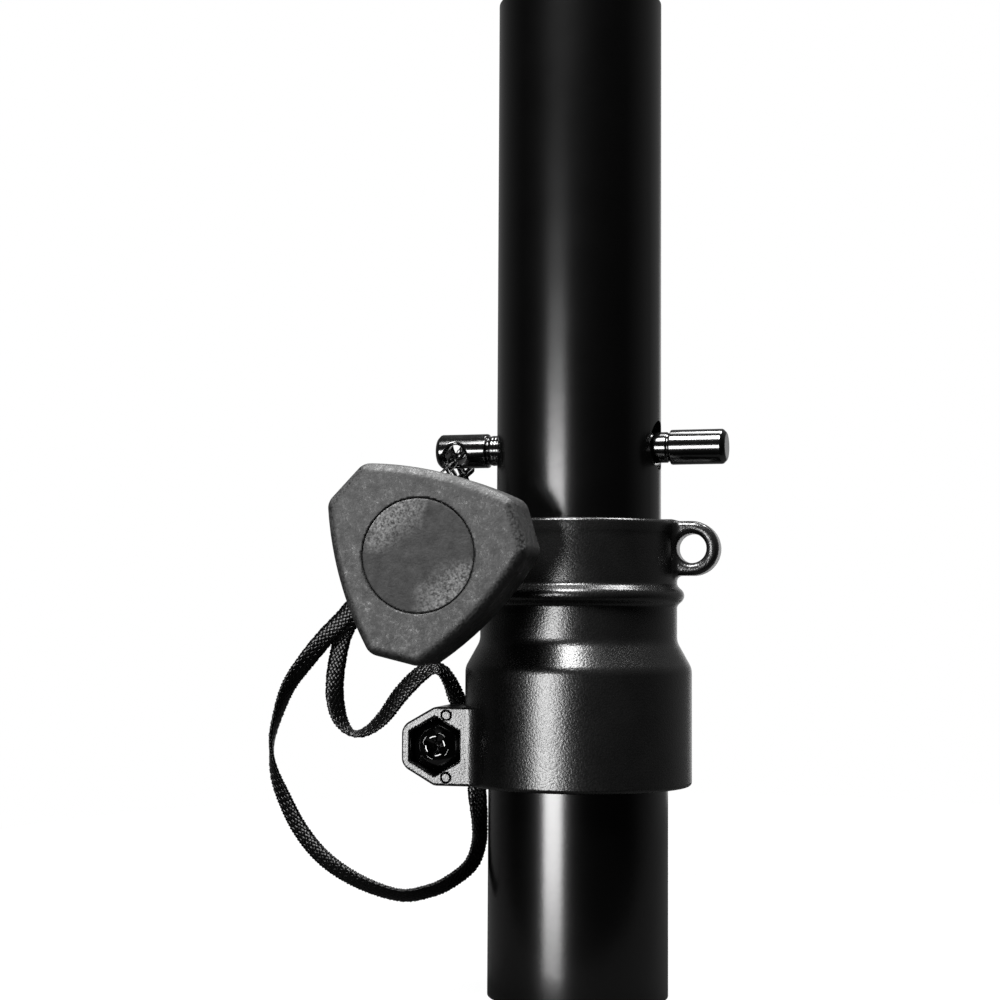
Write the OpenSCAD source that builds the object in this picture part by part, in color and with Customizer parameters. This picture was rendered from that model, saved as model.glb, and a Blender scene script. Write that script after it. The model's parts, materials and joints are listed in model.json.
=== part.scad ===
// Telescopic pole joint of a loudspeaker stand: tubes, split clamp collar, knob, safety pin and lanyard.
// Millimetres. The pole stands along +Z on the lower tube's end. The knob faces -Y, the cable eye +X.

/* [Tubes] */
// Outer diameter of the upper tube
upper_tube_d = 35; // [34:0.5:36]
// Wall of the upper tube
upper_tube_wall = 1.5; // [1.2:0.1:2]
// Length of the upper tube
upper_tube_len = 193; // [185:1:220]
// Height of the upper tube's lower end
upper_tube_z = 18; // [14:1:22]
// Radial gap between the two tubes
tube_gap = 0.3; // [0.25:0.05:0.5]
// Wall of the lower tube
lower_tube_wall = 1.2; // [1:0.1:1.6]
// Length of the lower tube
lower_tube_len = 67.5; // [66:0.5:69]

/* [Guides] */
// Radial running gap of the guides on their tubes
running_gap = 0.1; // [0.05:0.05:0.15]
// Height of the guide bush on top of the lower tube
bush_h = 10.4; // [8:0.2:11]
// Height of the glide's flange below the upper tube
glide_flange_h = 4; // [3:0.5:5]
// Length of the glide's spigot in the upper tube
glide_spigot_h = 12; // [8:1:16]
// Wall of the glide
glide_wall = 3; // [2:0.5:4]

/* [Collar] */
// Radial gap between the collar and what it clamps or holds
seat_gap = 0.05; // [0.02:0.01:0.1]
// How far the collar reaches down over the lower tube
collar_grip = 23.7; // [23:0.1:24.4]
// Wall of the collar round the lower tube
skirt_wall = 4.95; // [4.8:0.05:5.4]
// Height of the wide part of the collar
skirt_h = 23.6; // [22.8:0.1:24.2]
// Height of the flare between the wide part and the neck
flare_h = 7.6; // [7.2:0.1:8.4]
// Lean of the flare from upright
flare_angle = 29; // [28:1:34]
// Wall of the neck round the upper tube
neck_wall = 3.3; // [3:0.1:3.6]
// Height of the neck above the flare
neck_h = 24.4; // [23.5:0.1:26]
// Height of the bead above the flare
bead_rise = 8.7; // [8:0.1:9.5]
// Radius of the bead's round section
bead_r = 1.7; // [1.2:0.1:2]
// How far the bead stands out of the neck
bead_out = 1.5; // [1:0.1:1.7]
// Height of the lip round the top of the neck
lip_h = 2.8; // [2:0.1:4]
// How far the lip stands out of the neck
lip_out = 0.15; // [0.1:0.05:0.3]
// Rounding of the collar's lower and upper edges
collar_edge = 0.8; // [0.4:0.1:1.2]
// Width of the slit down the collar's side
slit_w = 3.4; // [3:0.1:3.8]

/* [Lower clamp] */
// Distance of the lower clamp bolt from the wide part
lug_bolt_out = 3.6; // [3.4:0.05:4.4]
// Width of the lug's six-sided end across its flats
lug_across = 14.3; // [13.8:0.1:14.8]
// Height of the lug
lug_h = 16.3; // [15.8:0.1:16.8]
// Height of the lug's foot above the collar's foot
lug_lift = 0.25; // [0:0.05:1]
// Thickness of the lug from front to back
lug_thick = 30; // [28:0.5:32]
// Fillet between the lug and the collar
lug_fillet = 3.2; // [2:0.1:5]
// Thread diameter of the lower clamp bolt
clamp_bolt_d = 6; // [5:0.5:6]
// Width of the lower bolt's head and nut across flats
clamp_hex = 10; // [9:0.5:10]
// Height of the lower bolt's head
clamp_head_h = 4; // [3:0.5:4.5]
// Gap round the bolt heads and nuts in their pockets
hex_gap = 0.35; // [0.2:0.05:0.5]
// Gap round the bolts in the collar
bolt_gap = 0.25; // [0.15:0.05:0.4]
// Outer diameter of the lower washer
clamp_washer_d = 11; // [10:0.1:11.2]
// Thickness of the lower washer
clamp_washer_h = 1.2; // [0.8:0.1:1.6]
// Height of the lower lock nut
clamp_nut_h = 6; // [5:0.5:7]
// Height of the nylon ring in the lock nut
nut_ring_h = 1.8; // [1.2:0.2:2.2]
// Diameter of the dish in the lower bolt's head
head_dish_d = 7; // [6:0.2:7.4]
// Length of the cross recess in the lower bolt's head
cross_len = 5.4; // [4.6:0.2:5.8]
// Width of the cross recess in the lower bolt's head
cross_w = 1.1; // [0.9:0.1:1.3]
// Turn of the cross recess
cross_turn = 18; // [0:1:45]
// Length of thread past the nuts
thread_past = 1.5; // [1:0.5:3]

/* [Knob clamp] */
// Distance of the knob bolt from the neck
ear_bolt_out = 3.4; // [3.2:0.1:4.2]
// Radius of the upper ears' round end
ear_r = 8.5; // [8:0.1:9]
// How far the ears' faces stand clear of the neck beside the washer
ear_proud = 0.55; // [0.3:0.05:1.5]
// Thread diameter of the knob bolt
knob_bolt_d = 8; // [6:0.5:8]
// Width of the knob bolt's head and nut across flats
knob_hex = 13; // [11.5:0.5:13]
// Height of the knob bolt's head
knob_head_h = 5.3; // [4:0.1:6]
// Height of the knob bolt's nut
knob_nut_h = 6.5; // [6:0.1:7]
// How far the knob bolt's nut is let into the rear ear
knob_nut_in = 4.5; // [3.5:0.1:5]
// Outer diameter of the knob washer
knob_washer_d = 15; // [14:0.5:16]
// Thickness of the knob washer
knob_washer_h = 1.6; // [1.2:0.1:2]

/* [Knob] */
// Distance of the knob's short sides from its axis
knob_corner = 20.95; // [19.5:0.05:22]
// Length of the knob's short sides
knob_flat = 10.5; // [9:0.1:12]
// How far the knob's long sides bulge
knob_bulge = 1.8; // [1:0.1:2.5]
// Height of the knob's grip
knob_h = 15.5; // [14:0.5:18]
// How much narrower the knob is at its front
knob_draft = 0.1; // [0.05:0.05:1.2]
// Rounding of the knob's front edge
knob_edge = 2.2; // [1.5:0.1:2.5]
// Turn of the knob seen from the front
knob_turn = 16.5; // [0:0.5:120]
// Diameter of the hub behind the knob
hub_d = 15; // [13:0.5:15]
// Length of the hub behind the knob
hub_len = 13.1; // [12:0.1:14]
// Diameter of the round cap
cap_d = 22.5; // [21:0.1:23]
// Thickness of the round cap
cap_h = 3; // [2.5:0.1:3.5]
// Gap round the cap
cap_gap = 0.15; // [0.1:0.05:0.25]

/* [Cable eye] */
// Hole of the cable eye
eye_hole_d = 6.2; // [5.5:0.1:6.6]
// Wall round the eye's hole
eye_wall = 2.6; // [2:0.1:2.8]
// Distance of the eye's hole from the neck
eye_out = 3.5; // [3.2:0.1:4.5]
// Thickness of the eye
eye_thick = 8; // [6:0.5:10]
// Height of the collar's top over the eye
eye_top = 0.1; // [0:0.1:1]

/* [Safety pin] */
// Diameter of the pin's two ends
pin_d = 7.4; // [7:0.1:7.6]
// Diameter of the pin's neck
pin_neck_d = 6.5; // [5.5:0.1:6.8]
// Length of the pin's left end
pin_left_len = 11.3; // [10.5:0.1:13]
// Length of the pin's right end
pin_right_len = 11.8; // [10.5:0.1:13.5]
// Gap between the upper tube and the pin's ends
pin_clear = 2.65; // [2:0.05:3.2]
// Chamfer on the pin's ends
pin_chamfer = 0.8; // [0.4:0.1:1.2]
// Height of the pin above the collar
pin_rise = 15.5; // [15:0.1:17]
// Turn of the pin about the pole
pin_turn = -5; // [-10:1:0]
// Radial gap of the pin's ends in the upper tube's cross holes
pin_hole_gap = 1.5; // [1.3:0.05:1.7]
// How far the pin sits below the middle of the cross holes
pin_sag = 0.5; // [0.3:0.05:0.85]
// Diameter of the lanyard's hole in the pin
pin_eye_d = 4.6; // [4.2:0.1:5]
// Distance of the lanyard's hole from the pin's left end
pin_eye_in = 4.6; // [4:0.1:7]
// Dip of the lanyard's hole towards the front
pin_eye_dip = 26; // [0:1:30]
// Countersink of the lanyard's hole
pin_eye_sink = 0.9; // [0.5:0.1:1.1]

/* [Lanyard] */
// Width of the flat braid
braid_w = 4; // [3:0.1:4.4]
// Thickness of the flat braid
braid_t = 1.2; // [0.8:0.1:1.4]
// Width of the braid where it is drawn through the pin
drawn_w = 2.6; // [2:0.1:2.8]
// Thickness of the braid where it is drawn through the pin
drawn_t = 1.6; // [1.2:0.1:1.8]

/* [Hidden] */
$fn = 96;
through = 0.5;

// Tubes and guides
upper_r = upper_tube_d / 2;
upper_bore_r = upper_r - upper_tube_wall;
lower_bore_r = upper_r + tube_gap;
lower_r = lower_bore_r + lower_tube_wall;
guide_bore_r = upper_r + running_gap;
glide_r = lower_bore_r - running_gap;

// Collar
skirt_bore_r = lower_r + seat_gap;
skirt_r = skirt_bore_r + skirt_wall;
neck_r = guide_bore_r + neck_wall;
collar_z = lower_tube_len - collar_grip;
flare_z = collar_z + skirt_h;
neck_z = flare_z + flare_h;
collar_top = neck_z + neck_h;
bush_top = lower_tube_len + bush_h;
flare_in = skirt_r - neck_r;
flare_r = (flare_h - flare_in / tan(flare_angle)) / (2 * tan(flare_angle / 2));
flare_steps = 12;

// Lower clamp, whose bolt lies along Y
lug_x = -(skirt_r + lug_bolt_out);
lug_foot = collar_z + lug_lift;
lug_z = lug_foot + lug_h / 2;
lug_y = lug_thick / 2;
lug_corner_r = lug_h / 2 + 0.05;
head_pocket = clamp_head_h + hex_gap;
mark_r = 1;
mark_deep = 0.2;
mark_x = lug_x + 0.168 * lug_across;
mark_rise = 0.394 * lug_h;

// Knob clamp, whose bolt lies along Y
ear_x = -(neck_r + ear_bolt_out);
ear_z = collar_top - ear_r;
ear_y = ear_proud + sqrt(pow(neck_r, 2) - pow(ear_x + knob_washer_d / 2, 2));
ear_thick = 2 * ear_y;
knob_back = ear_y + knob_washer_h + hub_len;
cap_seat = knob_h - cap_h;
head_seat = cap_seat - knob_head_h;
side_half = sqrt(pow(knob_corner, 2) + pow(knob_flat / 2, 2));
side_angle = 60 - atan(knob_flat / 2 / knob_corner);
chord_half = side_half * sin(side_angle);
side_far = side_half * cos(side_angle) + knob_bulge;
side_r = (pow(chord_half, 2) + pow(knob_bulge, 2)) / (2 * knob_bulge);

// Cable eye
eye_r = eye_hole_d / 2 + eye_wall;
eye_x = neck_r + eye_out;
eye_z = collar_top - eye_top - eye_r;

// Safety pin, along X before its turn
pin_z = collar_top + pin_rise;
pin_shoulder = upper_r + pin_clear;
pin_left = pin_shoulder + pin_left_len;
pin_right = pin_shoulder + pin_right_len;
pin_hole_r = pin_d / 2 + pin_hole_gap;

// Lanyard: each point is x, y, z, the braid's turn about its run, and how far it is drawn in
outer_points = [
    [-22.1, 0, 52.5, 0, 0], [-22, 0, 47, 0, 0], [-21.9, 0, 42, 15, 0], [-21.2, -0.5, 35.7, 45, 0],
    [-21.2, -1, 30.8, 50, 0], [-23, -1, 26.2, 47, 0], [-27.5, -1, 22.5, 45, 0], [-32, -1, 20.4, 44, 0],
    [-38.5, -1, 19.3, 42, 0], [-47.4, -1, 21.8, 30, 0], [-55.3, -1, 26.4, 18, 0], [-61, -1, 32.6, 15, 0],
    [-65, -1.5, 40.2, 26, 0], [-67, -2, 46.1, 52, 0], [-67.2, -2.5, 51.9, 84, 0],
];
front_points = [
    [-65.6, -3, 57.9, 104, 0], [-62.9, -4, 64, 126, 0], [-58.6, -5, 69.6, 150, 0],
    [-54.4, -5.5, 74.4, 168, 0], [-49.9, -6, 78.9, 180, 0],
];
eye_points = [
    [-44.8, -7, 84.6, 180, 0], [-39.5, -8, 90.8, 180, 0], [-34.5, -8, 96.8, 180, 0],
    [-28.8, -6.8, 105, 182, 0.3], [-27.6, -5.8, 109, 190, 0.8], [-27.4, -3.9, 111.6, 195, 1],
    [-27.1, -1.4, 113.1, 200, 1], [-26.9, 2.3, 114.9, 200, 1], [-26.6, 6.1, 116.7, 200, 1],
    [-26.6, 8.8, 116.4, 195, 1], [-27, 10.2, 113, 190, 1], [-28.2, 10.2, 108.5, 185, 0.7],
    [-30.6, 8.8, 103.6, 182, 0.2], [-35, 6, 97.2, 180, 0], [-41, 2.5, 90, 180, 0],
];
back_points = [
    [-47, -0.2, 82.4, 180, 0], [-51.2, -1.4, 75.8, 180, 0], [-52.9, -1.5, 69, 184, 0],
    [-53.4, -1.5, 63.7, 196, 0], [-53.1, -1.5, 60, 212, 0], [-52, -1.5, 56.5, 236, 0],
];
inner_points = [
    [-49.6, -1.5, 53.8, 262, 0], [-46.2, -1.5, 54.2, 240, 0], [-42.4, -1.5, 57.2, 214, 0],
    [-38.7, -1, 62.2, 197, 0], [-34.9, -0.5, 66.2, 200, 0], [-32.1, 0, 67.8, 226, 0],
    [-29.8, 0, 67.4, 240, 0], [-28, 0, 65, 234, 0], [-26.4, 0, 61.4, 214, 0], [-24, 0, 57, 184, 0],
];
route = concat(outer_points, front_points, eye_points, back_points, inner_points);
front_at = len(outer_points);
eye_at = front_at + len(front_points);
back_at = eye_at + len(eye_points);
inner_at = back_at + len(back_points);
braid_sides = 8;
toward = [0, -1, 0];
half_turn = 180;

function unit(v) = v / norm(v);
function place(i) = let (p = route[i % len(route)]) [p.x, p.y, p.z];
function along(i) = unit(place(i + 1) - place(i + len(route) - 1));
function drawn(i, free, tight) = let (d = route[i % len(route)][4]) free + d * (tight - free);

// One ring of the braid's flat section, square to its run; the closed loop has half a turn in it
function ring(i) =
    let (t = along(i), a = route[i % len(route)][3] + half_turn * floor(i / len(route)))
    let (face = unit(toward - (toward * t) * t))
    let (wide = cross(t, face) * cos(a) + face * sin(a))
    let (thick = cross(t, wide))
    let (w = drawn(i, braid_w, drawn_w) / 2, h = drawn(i, braid_t, drawn_t) / 2)
    [for (k = [0:braid_sides - 1])
        let (b = 360 / braid_sides * (k + 0.5))
        place(i) + wide * w * cos(b) / cos(180 / braid_sides) + thick * h * sin(b) / cos(180 / braid_sides)];

module braid(first, last) {
    n = braid_sides;
    count = last - first;
    points = [for (i = [first:last]) each ring(i)];
    sides = [for (i = [0:count - 1], k = [0:n - 1])
        let (a = i * n + k, b = i * n + (k + 1) % n)
        each [[a, b, a + n], [b, b + n, a + n]]];
    start = [for (k = [1:n - 2]) [0, k + 1, k]];
    end = [for (k = [1:n - 2]) [count * n, count * n + k, count * n + k + 1]];
    polyhedron(points, concat(sides, start, end));
}

// A flat outline in X and Z, as thick as depth, with its back at y
module slab(y, depth) {
    translate([0, y, 0]) rotate([90, 0, 0]) linear_extrude(depth) children();
}

// A hexagon with two upright flats
module hexagon(across) {
    rotate(30) circle(across / sqrt(3), $fn = 6);
}

module pipe(r, bore, z, h) {
    translate([0, 0, z]) difference() {
        cylinder(h = h, r = r);
        translate([0, 0, -through]) cylinder(h = h + 2 * through, r = bore);
    }
}

module lower_tube() color("#111111") pipe(lower_r, lower_bore_r, 0, lower_tube_len);

module upper_tube() {
    color("#111111") difference() {
        pipe(upper_r, upper_bore_r, upper_tube_z, upper_tube_len);
        translate([0, 0, pin_z + pin_sag]) rotate([0, 90, pin_turn])
            cylinder(h = upper_tube_d + 2 * through, r = pin_hole_r, center = true);
    }
}

module guide_bush() color("#dcdcd4") pipe(lower_r, guide_bore_r, lower_tube_len, bush_h);

module glide_plug() {
    spigot_r = upper_bore_r - running_gap;
    low = upper_tube_z - glide_flange_h;
    color("#1c1c1c") difference() {
        union() {
            translate([0, 0, low]) cylinder(h = glide_flange_h, r = glide_r);
            translate([0, 0, low]) cylinder(h = glide_flange_h + glide_spigot_h, r = spigot_r);
        }
        translate([0, 0, low - through])
            cylinder(h = glide_flange_h + glide_spigot_h + 2 * through, r = spigot_r - glide_wall);
    }
}

// The flare: a lean side between two tangent arcs
module flare_profile() {
    lower = [for (k = [0:flare_steps]) let (a = flare_angle * k / flare_steps)
        [skirt_r - flare_r + flare_r * cos(a), flare_z + flare_r * sin(a)]];
    upper = [for (k = [flare_steps:-1:0]) let (a = flare_angle * k / flare_steps)
        [neck_r + flare_r - flare_r * cos(a), neck_z - flare_r * sin(a)]];
    polygon(concat([[0, flare_z]], lower, upper, [[0, neck_z]]));
}

// Half of the collar's upright section
module collar_profile() {
    foot = collar_edge;
    translate([0, collar_z + foot]) square([skirt_r, skirt_h - foot]);
    translate([0, collar_z]) square([skirt_r - foot, foot]);
    translate([skirt_r - foot, collar_z + foot]) circle(foot, $fn = 48);
    flare_profile();
    translate([0, neck_z]) square([neck_r, neck_h - lip_h]);
    translate([neck_r + bead_out - bead_r, neck_z + bead_rise]) circle(bead_r, $fn = 48);
    translate([0, collar_top - lip_h]) square([neck_r + lip_out, lip_h - foot]);
    translate([0, collar_top - foot]) square([neck_r + lip_out - foot, foot]);
    translate([neck_r + lip_out - foot, collar_top - foot]) circle(foot, $fn = 48);
}

// Hollow corners where the lug's faces meet the round collar
module lug_fillets() {
    corner_y = lug_y + lug_fillet;
    centre_x = -sqrt(pow(skirt_r + lug_fillet, 2) - pow(corner_y, 2));
    for (s = [-1, 1]) translate([0, 0, lug_foot]) linear_extrude(lug_h) difference() {
        polygon([[centre_x, 0], [centre_x, s * corner_y], [0, 0]]);
        translate([centre_x, s * corner_y]) circle(lug_fillet);
    }
}

module lug() {
    slab(lug_y, lug_thick) {
        intersection() {
            translate([lug_x, lug_z]) hexagon(lug_across);
            translate([lug_x, lug_z]) circle(lug_corner_r);
            translate([lug_x - lug_across, lug_foot]) square([2 * lug_across, lug_h]);
        }
        translate([lug_x, lug_foot]) square([-lug_x, lug_h]);
    }
    lug_fillets();
}

module ears() {
    slab(ear_y, ear_thick) {
        translate([ear_x, ear_z]) circle(ear_r);
        translate([ear_x, ear_z - ear_r]) square([-ear_x, 2 * ear_r]);
    }
}

// The two bores, the slit, the bolt holes and the pockets of the collar
module collar_cuts() {
    translate([0, 0, collar_z - through]) cylinder(h = bush_top - collar_z + through, r = skirt_bore_r);
    translate([0, 0, collar_z]) cylinder(h = collar_top - collar_z + through, r = guide_bore_r);
    reach = lug_x - lug_across;
    translate([reach, -slit_w / 2, collar_z - through])
        cube([-reach - upper_bore_r, slit_w, collar_top - collar_z + 2 * through]);
    slab(lug_y + through, lug_thick + 2 * through)
        translate([lug_x, lug_z]) circle(clamp_bolt_d / 2 + bolt_gap);
    slab(-lug_y + head_pocket, head_pocket + through)
        translate([lug_x, lug_z]) hexagon(clamp_hex + 2 * hex_gap);
    for (s = [-1, 1]) slab(-lug_y + mark_deep, mark_deep + through)
        translate([mark_x, lug_z + s * mark_rise]) circle(mark_r, $fn = 32);
    slab(ear_y + through, ear_thick + 2 * through)
        translate([ear_x, ear_z]) circle(knob_bolt_d / 2 + bolt_gap);
    slab(ear_y + through, knob_nut_in + through)
        translate([ear_x, ear_z]) hexagon(knob_hex + 2 * hex_gap);
}

module clamp_collar() {
    color("#161616") difference() {
        union() {
            rotate_extrude() collar_profile();
            lug();
            ears();
        }
        collar_cuts();
    }
}

// Moulded on the neck: its root is cut to the collar's round outside
module cable_eye() {
    root = neck_r - neck_wall / 2;
    color("#161616") difference() {
        slab(eye_thick / 2, eye_thick) {
            translate([eye_x, eye_z]) circle(eye_r);
            translate([root, eye_z - eye_r]) square([eye_x - root, 2 * eye_r]);
        }
        rotate_extrude() collar_profile();
        slab(eye_thick / 2 + through, eye_thick + 2 * through)
            translate([eye_x, eye_z]) circle(eye_hole_d / 2);
    }
}

module clamp_bolt() {
    shank_r = clamp_bolt_d / 2 - seat_gap;
    head_y = -lug_y + head_pocket;
    dish_deep = 0.5;
    cross_deep = 2.2;
    nut_end = lug_y + clamp_washer_h + clamp_nut_h;
    color("#202020") translate([lug_x, 0, lug_z]) difference() {
        union() {
            slab(head_y, clamp_head_h) hexagon(clamp_hex);
            slab(nut_end + thread_past, nut_end + thread_past - head_y) circle(shank_r);
        }
        slab(head_y - clamp_head_h + dish_deep, dish_deep + through) circle(head_dish_d / 2);
        slab(head_y - clamp_head_h + cross_deep, cross_deep + through) rotate(cross_turn) {
            square([cross_len, cross_w], center = true);
            square([cross_w, cross_len], center = true);
        }
    }
}

module clamp_washer() {
    color("#8c8c8c") translate([lug_x, 0, lug_z]) slab(lug_y + clamp_washer_h, clamp_washer_h) difference() {
        circle(clamp_washer_d / 2);
        circle(clamp_bolt_d / 2 + bolt_gap);
    }
}

module clamp_nut() {
    end = lug_y + clamp_washer_h + clamp_nut_h;
    color("#8c8c8c") translate([lug_x, 0, lug_z]) difference() {
        slab(end, clamp_nut_h) intersection() {
            hexagon(clamp_hex);
            circle(0.55 * clamp_hex);
        }
        slab(end + through, clamp_nut_h + 2 * through) circle(clamp_bolt_d / 2);
        slab(end + through, nut_ring_h + through) circle(0.4 * clamp_hex);
    }
}

module nut_ring() {
    end = lug_y + clamp_washer_h + clamp_nut_h;
    color("#2c4a78") translate([lug_x, 0, lug_z]) slab(end, nut_ring_h) difference() {
        circle(0.4 * clamp_hex - seat_gap);
        circle(clamp_bolt_d / 2);
    }
}

// Stands what is drawn upwards from the knob's back out along the knob's axis
module on_knob() {
    translate([ear_x, -knob_back, ear_z]) rotate([90, 0, 0]) children();
}

// A section that leans in by the draft up to a rounded front edge
module drafted_edge(reach) {
    front = reach - knob_draft;
    polygon([[0, 0], [reach, 0], [front, knob_h - knob_edge], [0, knob_h - knob_edge]]);
    square([front - knob_edge, knob_h]);
    translate([front - knob_edge, knob_h - knob_edge]) circle(knob_edge, $fn = 48);
}

module knob_blank() {
    rotate(knob_turn) intersection_for (k = [0:2]) rotate(120 * k) intersection() {
        rotate(60) translate([side_far - side_r, 0, 0]) rotate_extrude($fn = 180) drafted_edge(side_r);
        translate([-2 * knob_corner, 0, 0]) rotate([90, 0, 0])
            linear_extrude(6 * knob_corner, center = true) drafted_edge(3 * knob_corner);
    }
}

module knob_grip() {
    color("#4a4a4a") on_knob() difference() {
        union() {
            knob_blank();
            translate([0, 0, -hub_len]) cylinder(h = hub_len + through, d = hub_d);
        }
        translate([0, 0, cap_seat]) cylinder(h = cap_h + through, d = cap_d);
        translate([0, 0, head_seat]) linear_extrude(knob_head_h + through) hexagon(knob_hex + 2 * seat_gap);
        translate([0, 0, -hub_len - through]) cylinder(h = hub_len + knob_h, d = knob_bolt_d);
    }
}

module knob_cap() {
    color("#555555") on_knob() translate([0, 0, cap_seat]) cylinder(h = cap_h, d = cap_d - 2 * cap_gap);
}

module knob_bolt() {
    run = hub_len + knob_washer_h + ear_thick - knob_nut_in + knob_nut_h + thread_past;
    color("#8c8c8c") on_knob() {
        translate([0, 0, head_seat]) linear_extrude(knob_head_h) hexagon(knob_hex);
        translate([0, 0, -run]) cylinder(h = run + head_seat + through, d = knob_bolt_d - 2 * seat_gap);
    }
}

module knob_washer() {
    color("#8c8c8c") on_knob() translate([0, 0, -hub_len - knob_washer_h]) difference() {
        cylinder(h = knob_washer_h, d = knob_washer_d);
        translate([0, 0, -through]) cylinder(h = knob_washer_h + 2 * through, d = knob_bolt_d + 2 * bolt_gap);
    }
}

module knob_nut() {
    front = ear_y - knob_nut_in;
    color("#8c8c8c") translate([ear_x, 0, ear_z]) slab(front + knob_nut_h, knob_nut_h) difference() {
        intersection() {
            hexagon(knob_hex);
            circle(0.56 * knob_hex);
        }
        circle(knob_bolt_d / 2);
    }
}

// The pin's outline as radius against place, spun about X
module pin_profile() {
    r = pin_d / 2;
    c = pin_chamfer;
    polygon([
        [0, -pin_left], [r - c, -pin_left], [r, c - pin_left], [r, -pin_shoulder],
        [pin_neck_d / 2, -pin_shoulder], [pin_neck_d / 2, pin_shoulder], [r, pin_shoulder],
        [r, pin_right - c], [r - c, pin_right], [0, pin_right],
    ]);
}

module safety_pin() {
    sink_r = pin_eye_d / 2 + pin_eye_sink;
    color("#181818") translate([0, 0, pin_z]) rotate(pin_turn) difference() {
        rotate([0, 90, 0]) rotate_extrude() pin_profile();
        translate([pin_eye_in - pin_left, 0, 0]) rotate([90 + pin_eye_dip, 0, 0]) {
            cylinder(h = pin_d + 2 * through, d = pin_eye_d, center = true);
            for (s = [0, 180]) rotate([s, 0, 0]) translate([0, 0, pin_d / 2 - 2 * pin_eye_sink])
                cylinder(h = 2 * pin_eye_sink, r1 = pin_eye_d / 2, r2 = sink_r);
        }
    }
}

module lanyard_outer() color("#1a1a1a") braid(0, front_at);
module lanyard_front() color("#1a1a1a") braid(front_at, eye_at);
module lanyard_eye() color("#1a1a1a") braid(eye_at, back_at);
module lanyard_back() color("#1a1a1a") braid(back_at, inner_at);
module lanyard_inner() color("#1a1a1a") braid(inner_at, len(route));

lower_tube();
upper_tube();
guide_bush();
glide_plug();
clamp_collar();
cable_eye();
clamp_bolt();
clamp_washer();
clamp_nut();
nut_ring();
knob_grip();
knob_cap();
knob_bolt();
knob_washer();
knob_nut();
safety_pin();
lanyard_outer();
lanyard_front();
lanyard_eye();
lanyard_back();
lanyard_inner();
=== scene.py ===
"""Looks of the telescopic pole joint of a loudspeaker stand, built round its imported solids.

Shapes are worked out in millimetres in the part's own frame and written to the meshes in metres.
"""

import json

import bpy
import numpy as np
from mathutils import Matrix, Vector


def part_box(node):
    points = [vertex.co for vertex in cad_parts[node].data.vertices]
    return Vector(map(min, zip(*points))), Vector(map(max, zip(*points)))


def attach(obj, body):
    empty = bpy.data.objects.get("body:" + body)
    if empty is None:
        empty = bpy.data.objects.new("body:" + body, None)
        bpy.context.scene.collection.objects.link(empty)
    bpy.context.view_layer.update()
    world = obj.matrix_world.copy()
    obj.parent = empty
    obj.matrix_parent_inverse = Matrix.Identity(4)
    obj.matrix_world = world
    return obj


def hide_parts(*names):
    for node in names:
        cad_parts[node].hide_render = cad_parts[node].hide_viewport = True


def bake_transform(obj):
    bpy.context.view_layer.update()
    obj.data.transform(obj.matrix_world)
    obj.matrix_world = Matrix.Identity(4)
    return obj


MM = 0.001
COS_30 = np.cos(np.radians(30))
COS_45 = np.cos(np.radians(45))

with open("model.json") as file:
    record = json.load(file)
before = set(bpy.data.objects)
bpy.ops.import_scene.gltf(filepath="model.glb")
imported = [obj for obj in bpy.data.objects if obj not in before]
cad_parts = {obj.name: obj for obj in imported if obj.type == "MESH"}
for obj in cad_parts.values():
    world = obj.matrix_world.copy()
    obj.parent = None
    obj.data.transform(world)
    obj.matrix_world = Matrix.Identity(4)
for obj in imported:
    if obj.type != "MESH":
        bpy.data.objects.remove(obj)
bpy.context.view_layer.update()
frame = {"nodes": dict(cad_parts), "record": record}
nodes = frame["nodes"]


def box_mm(node):
    """Lowest and highest corner of a CAD node in millimetres."""
    low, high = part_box(node)
    return np.array(low) / MM, np.array(high) / MM


# Main sizes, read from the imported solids
upper_r = box_mm("upper_tube")[1][0]
lower_r = box_mm("lower_tube")[1][0]
collar_low, collar_high = box_mm("clamp_collar")
collar_z = collar_low[2]
collar_top = collar_high[2]
eye_side = box_mm("cable_eye")[1][0]
bush_top = box_mm("guide_bush")[1][2]
bolt_low, bolt_high = box_mm("clamp_bolt")
grip_low, grip_high = box_mm("knob_grip")
cap_low, cap_high = box_mm("knob_cap")
pin_low, pin_high = box_mm("safety_pin")

# Collar
skirt_r = lower_r + 5.0
skirt_bore_r = lower_r + 0.05
guide_bore_r = upper_r + 0.1
neck_r = guide_bore_r + 3.3
flare_z = collar_z + 23.6
flare_h = 7.6
flare_angle = np.radians(29)
flare_r = (flare_h - (skirt_r - neck_r) / np.tan(flare_angle)) / (2 * np.tan(flare_angle / 2))
neck_z = flare_z + flare_h
bead_z = neck_z + 8.7
bead_r = 1.7
bead_out = 1.5
bead_fillet = 0.9
lip_h = 2.8
lip_out = 0.1
lip_steep = 5.0
collar_edge = 0.8
slit_w = 3.4
slit_in = 2.0
slit_edge = 0.4
bolt_play = 0.25
hole_edge = 0.3

# Lower clamp
lug_across = 14.3
lug_h = 16.3
lug_lift = 0.25
lug_x = -(skirt_r + 3.6)
lug_z = collar_z + lug_lift + lug_h / 2
lug_y = 15.0
lug_edge = 0.5
lug_rim = 0.3
lug_round = 1.4
lug_fillet = 1.8
clamp_hex = 10.0
hex_gap = 0.25
clamp_bolt_r = 3.0
head_pocket = 4.35
pocket_edge = 0.35
mark_r = 0.95
mark_gap = 0.09
mark_deep = 0.5
mark_sunk = 0.01
mark_edge = 0.05
mark_hole_edge = 0.03
mark_x = lug_x + 0.168 * lug_across
mark_rise = 6.42

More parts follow.
